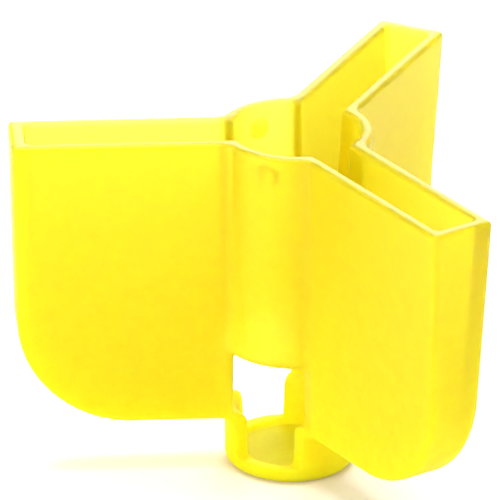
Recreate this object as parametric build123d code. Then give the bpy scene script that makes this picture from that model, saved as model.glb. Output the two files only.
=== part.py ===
from build123d import *
import math
import os

# Star picket (Y-post) safety cap: one moulding with a hub tube and three radial
# wing pockets, all open at the top, and a closed foot under the hub.
# Millimetres, +Z up, origin at the centre of the flat underside of the foot.

# driving dimensions
CAP_HEIGHT = 48.5          # foot underside to rim
TIP_RADIUS = 38.0          # hub axis to the outer face of a wing's end, at the rim
WING_WIDTH = 9.5           # over both side walls, at the rim
WING_BOTTOM = 7.2          # height of the wings' underside above the foot
CORNER_RADIUS = 15.2       # lower outer corner of a wing
SPREAD = 60.0              # each front and back wing to the +X axis, degrees
HUB_RADIUS = 10.4          # outside of the hub tube, at the rim
WALL = 1.8                 # side walls and hub wall
FOOT_FLOOR = 1.5
END_WALL = 2.1             # end wall of a wing
WING_FLOOR = 1.2           # floor of a wing pocket
DRAFT = 2.0                # degrees; every upright face leans in towards the foot
EDGE_ROUND = 0.8           # outside edges of the wings
RIM_ROUND = 0.7            # both edges of the rim
FOOT_ROUND = 1.2           # lower edge of the foot
JUNCTION_ROUND = 1.0       # inside corner between a wing and the hub
WINDOW_BOTTOM = 2.1
WINDOW_TOP = 17.4
WINDOW_ROUND = 0.7
LIP_ROUND = 1.2            # pocket floor into the hub bore
PILLAR_HALF_WIDTH = 3.85   # the tube left standing under each wing
RELIEF_RADIUS = 8.9        # bore between the wing floors and the window tops
WING_CUT = 11.5            # plane that parts a wing from the hub, from the axis
NIB_DEPTH = 3.3            # nib centre below the rim
NIB_RADIUS = 1.5
NIB_PROUD = 1.2            # how far a nib stands into the bore
BIG = 200.0                # a cutting block larger than the cap
CLEAR = 1.0                # how far apart a wanted edge or cut and its neighbour must be
LEVEL_TOLERANCE = 0.01

POCKET_FLOOR = WING_BOTTOM + WING_FLOOR
WING_ANGLES = {"left": 180.0, "back": SPREAD, "front": -SPREAD}
# each wing's two side walls: first the one on its anticlockwise side, seen from above
SIDE_NAMES = {
    "left": ("front", "back"),
    "back": ("left", "right"),
    "front": ("right", "left"),
}
# each arc of the hub lies between two wings, given here in turning order
ARC_WINGS = {
    "back_left": ("back", "left"),
    "front_left": ("left", "front"),
    "right": ("front", "back"),
}
FROM_BELOW = (Align.CENTER, Align.CENTER, Align.MIN)


def lean(depth):
    """How far a drafted face has moved in at a depth below the rim."""
    return depth * math.tan(math.radians(DRAFT))


def drafted_block(length, width, bottom, corner_radius):
    """A wing-shaped block along +X from the axis, hanging from the rim."""
    depth = CAP_HEIGHT - bottom
    inset = lean(depth)
    sides = {"xmin": 0, "xmax": length - inset, "zmin": inset, "zmax": width - inset}
    hanging = (Align.MIN, Align.MIN, Align.CENTER)
    wedge = Wedge(length, depth, width, **sides, align=hanging)
    block = Pos(0, 0, CAP_HEIGHT) * Rot(-90, 0, 0) * wedge
    tip_edge = block.faces().sort_by(Axis.Z)[0].edges().sort_by(Axis.X)[-1]
    return fillet(tip_edge, corner_radius)


def drafted_cone(radius, bottom):
    """A round plug on the axis, from a height up to the rim."""
    depth = CAP_HEIGHT - bottom
    return Pos(0, 0, bottom) * Cone(radius - lean(depth), radius, depth, align=FROM_BELOW)


def rounded_wing():
    """The outside of one wing, its end profile edges rounded."""
    block = drafted_block(TIP_RADIUS, WING_WIDTH, WING_BOTTOM, CORNER_RADIUS)
    profile = []
    for edge in block.edges():
        middle = edge.center()
        below_rim = middle.Z < CAP_HEIGHT - CLEAR
        if below_rim and middle.X > CLEAR and abs(middle.Y) > CLEAR:
            profile.append(edge)
    return fillet(profile, EDGE_ROUND)


def on_wings(shape):
    return [Rot(0, 0, angle) * shape for angle in WING_ANGLES.values()]


def arc_span(arc):
    """Start angle and included angle of the sector between an arc's two wings."""
    start, end = (WING_ANGLES[name] for name in ARC_WINGS[arc])
    return start, (end - start) % 360.0


def middle_angle(arc):
    start, span = arc_span(arc)
    return start + span / 2


def window(arc):
    """The opening between two wings, its sides parallel to those wings."""
    half_span = math.radians(arc_span(arc)[1] / 2)
    apex = PILLAR_HALF_WIDTH / math.sin(half_span)
    reach = 2 * TIP_RADIUS
    far = apex + reach * math.cos(half_span)
    side = reach * math.sin(half_span)
    outline = Polyline((apex, 0), (far, side), (far, -side), close=True)
    block = extrude(make_face(outline), amount=WINDOW_TOP - WINDOW_BOTTOM)
    corners = [edge for edge in block.edges().filter_by(Plane.XY) if edge.center().X < far - CLEAR]
    block = fillet(corners, WINDOW_ROUND)
    return Rot(0, 0, middle_angle(arc)) * Pos(0, 0, WINDOW_BOTTOM) * block


def rim_face(shape):
    return shape.faces().sort_by(Axis.Z)[-1]


def junction_edges(shape):
    """The six upright curves where the wings' sides run into the hub."""
    curves = []
    for edge in shape.edges():
        upright = edge.bounding_box().size.Z > CAP_HEIGHT / 2
        from_axis = math.hypot(edge.center().X, edge.center().Y)
        if upright and from_axis < HUB_RADIUS and edge.geom_type != GeomType.LINE:
            curves.append(edge)
    return curves


def outer_form():
    """The cap with nothing hollowed out."""
    form = drafted_cone(HUB_RADIUS, 0)
    form = fillet(form.faces().sort_by(Axis.Z)[0].edges(), FOOT_ROUND)
    for wing in on_wings(rounded_wing()):
        form = form + wing
    form = fillet(junction_edges(form), JUNCTION_ROUND)
    return fillet(rim_face(form).edges(), RIM_ROUND)


def hollow():
    """The hub bore and the three wing pockets, as one solid."""
    pocket = drafted_block(
        TIP_RADIUS - END_WALL,
        WING_WIDTH - 2 * WALL,
        POCKET_FLOOR,
        CORNER_RADIUS - WALL,
    )
    space = drafted_cone(HUB_RADIUS - WALL, FOOT_FLOOR)
    for turned in on_wings(pocket):
        space = space + turned
    return space


def floor_lips(shape):
    """The curved edges where the pocket floors stop at the hub bore."""
    lips = []
    for edge in shape.edges().filter_by(GeomType.CIRCLE):
        level = abs(edge.center().Z - POCKET_FLOOR) < LEVEL_TOLERANCE
        if level and edge.radius < RELIEF_RADIUS - WALL / 2:
            lips.append(edge)
    return lips


def moulding():
    """The whole cap as one solid."""
    body = outer_form() - hollow()
    body = fillet(rim_face(body).inner_wires()[0].edges(), RIM_ROUND)
    for arc in ARC_WINGS:
        body = body - window(arc)
    band = WINDOW_TOP - POCKET_FLOOR
    body = body - Pos(0, 0, POCKET_FLOOR) * Cylinder(RELIEF_RADIUS, band, align=FROM_BELOW)
    return fillet(floor_lips(body), LIP_ROUND)


def slab(bottom, top):
    """Everything between two heights."""
    return Pos(0, 0, bottom) * Box(BIG, BIG, top - bottom, align=FROM_BELOW)


def beyond_cut(angle):
    """Everything on the far side of a wing's parting plane."""
    outward = (Align.MIN, Align.CENTER, Align.CENTER)
    return Rot(0, 0, angle) * Pos(WING_CUT, 0, 0) * Box(BIG, BIG, BIG, align=outward)


def facing(shape, angle):
    """The solid of a shape that lies furthest in one direction."""
    aim = Vector(math.cos(math.radians(angle)), math.sin(math.radians(angle)), 0)
    return max(shape.solids(), key=lambda solid: solid.center().dot(aim))


def nib(arc):
    """A low dome on the bore wall, in the middle of an arc."""
    bore = HUB_RADIUS - WALL - lean(NIB_DEPTH)
    centre = bore - NIB_PROUD + NIB_RADIUS
    ball = Pos(centre, 0, CAP_HEIGHT - NIB_DEPTH) * Sphere(NIB_RADIUS)
    dome = ball & drafted_cone(HUB_RADIUS - WALL, FOOT_FLOOR)
    return Rot(0, 0, middle_angle(arc)) * dome


def between_walls(angle):
    """The space between a wing's two side walls, carried on through its end and floor."""
    inset = lean(CAP_HEIGHT)
    width = WING_WIDTH - 2 * WALL
    sides = {"xmin": 0, "xmax": BIG, "zmin": inset, "zmax": width - inset}
    hanging = (Align.MIN, Align.MIN, Align.CENTER)
    wedge = Wedge(BIG, CAP_HEIGHT, width, **sides, align=hanging)
    return Rot(0, 0, angle) * Pos(0, 0, CAP_HEIGHT) * Rot(-90, 0, 0) * wedge


def wing_nodes(whole, name):
    """A wing beyond its parting plane: two side walls, and the edge that joins them."""
    angle = WING_ANGLES[name]
    wing = whole & beyond_cut(angle)
    walls = wing - between_walls(angle)
    pieces = {name + "_wing_edge": wing & between_walls(angle)}
    for side, turn in zip(SIDE_NAMES[name], (90, -90)):
        pieces[name + "_wing_" + side + "_wall"] = facing(walls, angle + turn)
    return pieces


def nodes():
    """Every named piece of the cap."""
    whole = moulding()
    core = whole
    pieces = {}
    for name, angle in WING_ANGLES.items():
        pieces.update(wing_nodes(whole, name))
        core = core - beyond_cut(angle)
    arcs = core & slab(WINDOW_TOP, CAP_HEIGHT + CLEAR)
    pillars = core & slab(WINDOW_BOTTOM, WINDOW_TOP)
    pieces["foot_cup"] = core & slab(-CLEAR, WINDOW_BOTTOM)
    for name, angle in WING_ANGLES.items():
        pieces["pillar_" + name] = facing(pillars, angle)
    for arc in ARC_WINGS:
        pieces["hub_arc_" + arc] = facing(arcs, middle_angle(arc))
        pieces["retention_nib_" + arc] = nib(arc)
    return pieces


os.makedirs("parts", exist_ok=True)
for node, piece in nodes().items():
    export_step(piece, "parts/" + node + ".step")
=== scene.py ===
import math

import bpy
import numpy as np
import openvdb
from mathutils import Matrix, Vector


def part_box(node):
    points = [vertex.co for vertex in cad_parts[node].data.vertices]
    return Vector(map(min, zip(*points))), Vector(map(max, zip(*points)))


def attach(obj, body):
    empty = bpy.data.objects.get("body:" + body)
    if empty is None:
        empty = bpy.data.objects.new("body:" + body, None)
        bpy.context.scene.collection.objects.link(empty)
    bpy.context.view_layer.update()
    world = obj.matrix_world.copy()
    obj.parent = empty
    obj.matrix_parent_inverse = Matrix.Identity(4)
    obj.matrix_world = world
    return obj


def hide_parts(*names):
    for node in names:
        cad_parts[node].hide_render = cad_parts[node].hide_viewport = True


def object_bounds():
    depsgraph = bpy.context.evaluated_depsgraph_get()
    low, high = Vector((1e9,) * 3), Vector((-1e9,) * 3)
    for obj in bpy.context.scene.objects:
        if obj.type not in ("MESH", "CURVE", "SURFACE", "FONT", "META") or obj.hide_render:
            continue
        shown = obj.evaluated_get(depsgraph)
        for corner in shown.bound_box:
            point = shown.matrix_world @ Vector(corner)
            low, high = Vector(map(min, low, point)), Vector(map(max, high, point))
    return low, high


# A star picket safety cap: one translucent yellow polyethylene moulding, mouth up.
# The CAD frame parts it into walls, arcs, pillars, nibs and a foot. Here those nodes are
# replaced by one seamless skin, because light passes through the real, unjointed plastic.

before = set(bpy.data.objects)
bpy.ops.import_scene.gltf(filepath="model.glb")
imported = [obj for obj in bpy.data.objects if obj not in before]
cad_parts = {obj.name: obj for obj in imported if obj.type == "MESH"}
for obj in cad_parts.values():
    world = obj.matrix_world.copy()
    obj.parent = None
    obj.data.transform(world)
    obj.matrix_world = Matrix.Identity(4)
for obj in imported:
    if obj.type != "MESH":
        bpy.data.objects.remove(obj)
cad_low, cad_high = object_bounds()

# ------------------------------------------------------------------ sizes, millimetres
MM = 0.001
CAP_HEIGHT = cad_high.z / MM
TIP_RADIUS = 38.0          # hub axis to the outer face of a wing's end, at the rim
WING_WIDTH = 9.5           # over both side walls, at the rim
WING_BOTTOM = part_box("left_wing_edge")[0].z / MM
CORNER_RADIUS = 15.2       # lower outer corner of a wing
HUB_RADIUS = 10.4          # outside of the hub tube, at the rim
WALL = 1.8
END_WALL = 2.1
WING_FLOOR = 1.2
FOOT_FLOOR = 1.5
DRAFT = math.radians(2.0)  # every upright face leans in towards the foot
WINDOW_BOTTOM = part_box("foot_cup")[1].z / MM
WINDOW_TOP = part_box("pillar_left")[1].z / MM
PILLAR_HALF_WIDTH = 3.85
RELIEF_RADIUS = 8.9        # bore between the wing floors and the window tops
NIB_DEPTH = 3.3            # below the rim
NIB_RADIUS = 1.5
NIB_PROUD = 1.2            # of the bore wall
POCKET_FLOOR = WING_BOTTOM + WING_FLOOR

# radii of the moulded edges
RIM_ROUND = 0.7
WING_ROUND = 0.8
FOOT_ROUND = 1.2
JUNCTION_ROUND = 1.0
LIP_ROUND = 1.2
WINDOW_ROUND = 0.7
FINE_ROUND = 0.3
POCKET_ROUND = 0.5

WING_ANGLES = (180.0, 60.0, -60.0)
SECTORS = ((60.0, 180.0), (180.0, -60.0), (-60.0, 60.0))   # from one wing round to the next

# the skin's mesh
CELL = 0.3                 # spacing of the sampling grid
MARGIN = 3                 # cells sampled beyond the moulding's box
LAYERS = 12                # the grid is filled in this many, to save memory
ADAPTIVITY = 0.1           # how far flat areas may be merged into larger faces
SLOPE_STEP = 0.02          # either side of a point, to measure the surface's slope
PASSES = 3                 # moves of each vertex towards the true surface

# the plastic
DEEP = (1.0, 0.73, 0.005, 1.0)
BRIGHT = (1.0, 0.80, 0.012, 1.0)
MOTTLE_RANGE = (0.36, 0.62)     # the noise values that turn wholly deep and wholly bright
CLOUD_SCALE = 420.0        # mottling, a few millimetres down to a few tenths
GRAIN_SCALE = 2600.0
GRAIN_DEPTH = 0.05
GRAIN_STRENGTH = 0.2
CLEAR_AT_FOOT = 0.15       # how much of the surface passes light straight through
CLEAR_AT_RIM = 0.75
ROUGH_AT_FOOT = 0.62
ROUGH_AT_RIM = 0.40
ROUGH_PATCHES = 0.05       # how far the mottling moves the roughness either way
SCATTER_REACH = 8.0
SCATTER_SPREAD = (1.0, 0.85, 0.2)
MILK_IOR = 1.5
MILK_SPECULAR = 0.03
CLEAR_IOR = 1.35
CLEAR_SPECULAR = 0.08
ABSORPTION = 1100.0        # per metre
PASSED_COLOUR = (1.0, 0.985, 0.05, 1.0)

# the studio: lights in metres and watts
FLOOR_HALF = 1500.0
FLOOR_LEVEL = -0.1         # just under the foot, so that the two faces aren't in one plane
FLOOR_COLOUR = (0.93, 0.93, 0.92, 1.0)
FLOOR_ROUGHNESS = 0.9
FLOOR_SPECULAR = 0.1
WHITE = (1.0, 1.0, 1.0, 1.0)
WORLD_STRENGTH = 0.45
LIGHTS = {                 # place, diameter, power
    "overhead": ((-0.05, 0.05, 0.75), 0.45, 5.2),
    "back": ((0.16, 0.88, 0.46), 0.7, 7.5),
    "front_left": ((-0.85, -0.45, 0.22), 0.5, 5.6),
    "front_right": ((0.70, -0.70, 0.25), 0.5, 3.0),
}

CAMERA_BEARING = -95.38    # from the cap to the camera, degrees from +X
CAMERA_HEIGHT = 25.27      # degrees above level
CAMERA_ROLL = 0.94
CAMERA_DISTANCE = 1294.7
CAMERA_LENS = 698.3
CAMERA_AIM = (-5.6, 2.5, 29.6)
CAMERA_REACH = 10.0        # metres


# ------------------------------------------------------------------ the moulding's shape
# Every function here gives a signed distance in millimetres: negative in the plastic.


def lean(depth):
    """How far a drafted face has moved in at a depth below the rim."""
    return depth * math.tan(DRAFT)


def rounded_and(a, b, radius):
    """The overlap of two shapes, its outer edge rounded."""
    corner = np.hypot(np.maximum(a + radius, 0), np.maximum(b + radius, 0))
    return np.minimum(np.maximum(a, b), -radius) + corner


def rounded_or(a, b, radius):
    """Two shapes joined, with the inside corner between them filled to a radius."""
    return -rounded_and(-a, -b, radius)


def slab(z, bottom, top):
    """Everything between two levels."""
    return np.abs(z - (bottom + top) / 2) - (top - bottom) / 2


def drafted_block(u, v, z, length, width, bottom, corner, edge):
    """A wing-shaped block from the axis along u, hanging from the rim."""
    drawn_in = lean(CAP_HEIGHT - z)
    tip = (u - length + drawn_in) * math.cos(DRAFT)
    side = (np.abs(v) - width / 2 + drawn_in) * math.cos(DRAFT)
    profile = np.maximum(rounded_and(tip, bottom - z, corner), -u)
    return rounded_and(side, profile, edge)


def along_and_across(x, y, angle):
    """A point's distance along a wing from the axis, and to the left of it."""
    c, s = math.cos(math.radians(angle)), math.sin(math.radians(angle))
    return x * c + y * s, y * c - x * s


def nib(x, y, z, angle):
    """A low dome on the bore wall."""
    wall_at = HUB_RADIUS - WALL - lean(NIB_DEPTH)
    u, v = along_and_across(x, y, angle)
    centre = wall_at - NIB_PROUD + NIB_RADIUS
    ball = np.sqrt((u - centre) ** 2 + v**2 + (z - CAP_HEIGHT + NIB_DEPTH) ** 2) - NIB_RADIUS
    return np.maximum(ball, np.hypot(x, y) - wall_at - WALL / 2)


def moulding(x, y, z):
    """The whole cap."""
    rho = np.hypot(x, y)
    drawn_in = lean(CAP_HEIGHT - z)
    tube = (rho - HUB_RADIUS + drawn_in) * math.cos(DRAFT)
    outside = rounded_and(tube, -z, FOOT_ROUND)
    hollow = rounded_and(tube + WALL, FOOT_FLOOR - z, POCKET_ROUND)
    relief = rounded_and(rho - RELIEF_RADIUS, slab(z, POCKET_FLOOR, WINDOW_TOP), FINE_ROUND)
    at_floor = z < (POCKET_FLOOR + WINDOW_TOP) / 2
    hollow = rounded_or(hollow, relief, np.where(at_floor, LIP_ROUND, FINE_ROUND))
    wing = (TIP_RADIUS, WING_WIDTH, WING_BOTTOM, CORNER_RADIUS, WING_ROUND)
    pocket = (
        TIP_RADIUS - END_WALL,
        WING_WIDTH - 2 * WALL,
        POCKET_FLOOR,
        CORNER_RADIUS - WALL,
        POCKET_ROUND,
    )
    across = {}
    for angle in WING_ANGLES:
        u, v = along_and_across(x, y, angle)
        across[angle] = v
        outside = rounded_or(outside, drafted_block(u, v, z, *wing), JUNCTION_ROUND)
        hollow = rounded_or(hollow, drafted_block(u, v, z, *pocket), FINE_ROUND)
    above = z - CAP_HEIGHT
    body = np.maximum(
        rounded_and(outside, above, RIM_ROUND), rounded_and(-hollow, above, RIM_ROUND)
    )
    for start, end in SECTORS:
        between = PILLAR_HALF_WIDTH + np.maximum(-across[start], across[end])
        window = rounded_and(between, slab(z, WINDOW_BOTTOM, WINDOW_TOP), WINDOW_ROUND)
        body = rounded_and(body, -window, FINE_ROUND)
        middle = start + ((end - start) % 360.0) / 2
        body = rounded_or(body, nib(x, y, z, middle), FINE_ROUND)
    return body


def slope_of(points):
    """The unit normal of the shape at each point."""
    gradient = np.empty_like(points)
    for axis in range(3):
        offset = np.zeros(3)
        offset[axis] = SLOPE_STEP
        ahead = moulding(*(points + offset).T)
        behind = moulding(*(points - offset).T)
        gradient[:, axis] = (ahead - behind) / (2 * SLOPE_STEP)
    length = np.linalg.norm(gradient, axis=1, keepdims=True)
    return gradient / np.maximum(length, 1e-6)


def skin(name):
    """A closed mesh of the moulding, each vertex on the true surface with its true normal."""
    limit = MARGIN * CELL
    low = np.array(cad_low) / MM - limit
    high = np.array(cad_high) / MM + limit
    axes = [np.arange(a, b, CELL) for a, b in zip(low, high)]
    x = axes[0][:, None, None]
    y = axes[1][None, :, None]
    layers = [moulding(x, y, z[None, None, :]) for z in np.array_split(axes[2], LAYERS)]
    values = np.concatenate(layers, axis=2)
    values = np.clip(values, -limit, limit).astype(np.float32)
    grid = openvdb.FloatGrid(limit)
    grid.copyFromArray(values)
    places, triangles, quads = grid.convertToPolygons(0.0, ADAPTIVITY)
    points = places.astype(float) * CELL + low
    for _ in range(PASSES):
        points -= moulding(*points.T)[:, None] * slope_of(points)
    faces = triangles.tolist() + quads.tolist()
    mesh = bpy.data.meshes.new(name)
    mesh.from_pydata((points * MM).tolist(), [], faces)
    mesh.polygons.foreach_set("use_smooth", [True] * len(mesh.polygons))
    mesh.normals_split_custom_set_from_vertices(slope_of(points))
    obj = bpy.data.objects.new(name, mesh)
    bpy.context.scene.collection.objects.link(obj)
    return obj


# ------------------------------------------------------------------ materials


def node(tree, kind, **settings):
    """Adds a shader node, its inputs given by name."""
    added = tree.nodes.new(kind)
    for key, value in settings.items():
        added.inputs[key.replace("_", " ")].default_value = value
    return added


def by_height(tree, height, at_foot, at_rim):
    """A value that changes evenly from the foot up to the rim."""
    ramp = node(
        tree, "ShaderNodeMapRange", From_Max=CAP_HEIGHT * MM, To_Min=at_foot, To_Max=at_rim
    )
    tree.links.new(height.outputs["Z"], ramp.inputs["Value"])
    return ramp


def plastic():
    """Satin yellow polyethylene, milky low down and clearer towards the rim."""
    material = bpy.data.materials.new("yellow_polyethylene")
    material.use_nodes = True
    tree = material.node_tree
    tree.nodes.clear()
    link = tree.links.new
    place = tree.nodes.new("ShaderNodeTexCoord")

    height = tree.nodes.new("ShaderNodeSeparateXYZ")
    link(place.outputs["Object"], height.inputs["Vector"])
    share = by_height(tree, height, CLEAR_AT_FOOT, CLEAR_AT_RIM)
    satin = by_height(tree, height, ROUGH_AT_FOOT, ROUGH_AT_RIM)

    cloud = node(tree, "ShaderNodeTexNoise", Scale=CLOUD_SCALE, Detail=4.0, Roughness=0.65)
    link(place.outputs["Object"], cloud.inputs["Vector"])
    tint = tree.nodes.new("ShaderNodeValToRGB")
    for stop, where, colour in zip(tint.color_ramp.elements, MOTTLE_RANGE, (DEEP, BRIGHT)):
        stop.position = where
        stop.color = colour
    link(cloud.outputs["Fac"], tint.inputs["Fac"])

    patches = node(tree, "ShaderNodeMapRange", To_Min=-ROUGH_PATCHES, To_Max=ROUGH_PATCHES)
    link(cloud.outputs["Fac"], patches.inputs["Value"])
    gloss = tree.nodes.new("ShaderNodeMath")
    link(satin.outputs["Result"], gloss.inputs[0])
    link(patches.outputs["Result"], gloss.inputs[1])

    grain = node(tree, "ShaderNodeTexNoise", Scale=GRAIN_SCALE, Detail=3.0, Roughness=0.6)
    link(place.outputs["Object"], grain.inputs["Vector"])
    bump = node(tree, "ShaderNodeBump", Strength=GRAIN_STRENGTH, Distance=GRAIN_DEPTH * MM)
    link(grain.outputs["Fac"], bump.inputs["Height"])

    milk = node(
        tree,
        "ShaderNodeBsdfPrincipled",
        IOR=MILK_IOR,
        Specular_IOR_Level=MILK_SPECULAR,
        Subsurface_Weight=1.0,
        Subsurface_Scale=SCATTER_REACH * MM,
        Subsurface_Radius=SCATTER_SPREAD,
    )
    milk.subsurface_method = "RANDOM_WALK"
    link(tint.outputs["Color"], milk.inputs["Base Color"])
    clear = node(
        tree,
        "ShaderNodeBsdfPrincipled",
        Base_Color=WHITE,
        IOR=CLEAR_IOR,
        Specular_IOR_Level=CLEAR_SPECULAR,
        Transmission_Weight=1.0,
    )
    for shader in (milk, clear):
        link(gloss.outputs["Value"], shader.inputs["Roughness"])
        link(bump.outputs["Normal"], shader.inputs["Normal"])

    mix = tree.nodes.new("ShaderNodeMixShader")
    link(share.outputs["Result"], mix.inputs["Fac"])
    link(milk.outputs["BSDF"], mix.inputs[1])
    link(clear.outputs["BSDF"], mix.inputs[2])
    depth = node(tree, "ShaderNodeVolumeAbsorption", Density=ABSORPTION, Color=PASSED_COLOUR)
    out = tree.nodes.new("ShaderNodeOutputMaterial")
    link(mix.outputs["Shader"], out.inputs["Surface"])
    link(depth.outputs["Volume"], out.inputs["Volume"])
    return material


def studio_floor():
    """A plain pale square under the cap."""
    half = FLOOR_HALF * MM
    level = FLOOR_LEVEL * MM
    mesh = bpy.data.meshes.new("floor")
    outline = ((-half, -half), (half, -half), (half, half), (-half, half))
    mesh.from_pydata([(x, y, level) for x, y in outline], [], [(0, 1, 2, 3)])
    floor = bpy.data.objects.new("floor", mesh)
    bpy.context.scene.collection.objects.link(floor)
    material = bpy.data.materials.new("pale_floor")
    material.use_nodes = True
    shader = material.node_tree.nodes["Principled BSDF"]
    shader.inputs["Base Color"].default_value = FLOOR_COLOUR
    shader.inputs["Roughness"].default_value = FLOOR_ROUGHNESS
    shader.inputs["Specular IOR Level"].default_value = FLOOR_SPECULAR
    mesh.materials.append(material)


def soft_light(name, place, aim, size, watts):
    """A round soft box, turned to face a point."""
    light = bpy.data.lights.new(name, "AREA")
    light.shape = "DISK"
    light.size = size
    light.energy = watts
    lamp = bpy.data.objects.new(name, light)
    lamp.location = place
    lamp.rotation_euler = (Vector(aim) - Vector(place)).to_track_quat("-Z", "Y").to_euler()
    bpy.context.scene.collection.objects.link(lamp)


def studio():
    """White surroundings and the soft boxes."""
    scene = bpy.context.scene
    scene.view_settings.view_transform = "Standard"
    world = bpy.data.worlds.new("studio")
    world.use_nodes = True
    surroundings = world.node_tree.nodes["Background"]
    surroundings.inputs["Color"].default_value = WHITE
    surroundings.inputs["Strength"].default_value = WORLD_STRENGTH
    scene.world = world
    middle = (0, 0, CAP_HEIGHT * MM / 2)
    for name, (place, size, watts) in LIGHTS.items():
        soft_light(name, place, middle, size, watts)


# ------------------------------------------------------------------ camera


def camera():
    """A long lens, a little above the rim, the left wing side-on and the foot towards it."""
    bearing = math.radians(CAMERA_BEARING)
    height = math.radians(CAMERA_HEIGHT)
    roll = math.radians(CAMERA_ROLL)
    level = Vector((math.cos(bearing), math.sin(bearing), 0))
    outward = level * math.cos(height) + Vector((0, 0, math.sin(height)))
    aim = Vector(CAMERA_AIM) * MM
    turn = outward.to_track_quat("Z", "Y").to_matrix() @ Matrix.Rotation(roll, 3, "Z")
    lens = bpy.data.cameras.new("camera")
    lens.lens = CAMERA_LENS
    lens.clip_end = CAMERA_REACH
    viewer = bpy.data.objects.new("camera", lens)
    viewer.location = aim + outward * CAMERA_DISTANCE * MM
    viewer.rotation_euler = turn.to_euler()
    bpy.context.scene.collection.objects.link(viewer)
    bpy.context.scene.camera = viewer


# ------------------------------------------------------------------ the scene

cap = skin("cap_moulding")
cap.data.materials.append(plastic())
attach(cap, "root")
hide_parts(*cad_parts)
studio_floor()
studio()
camera()
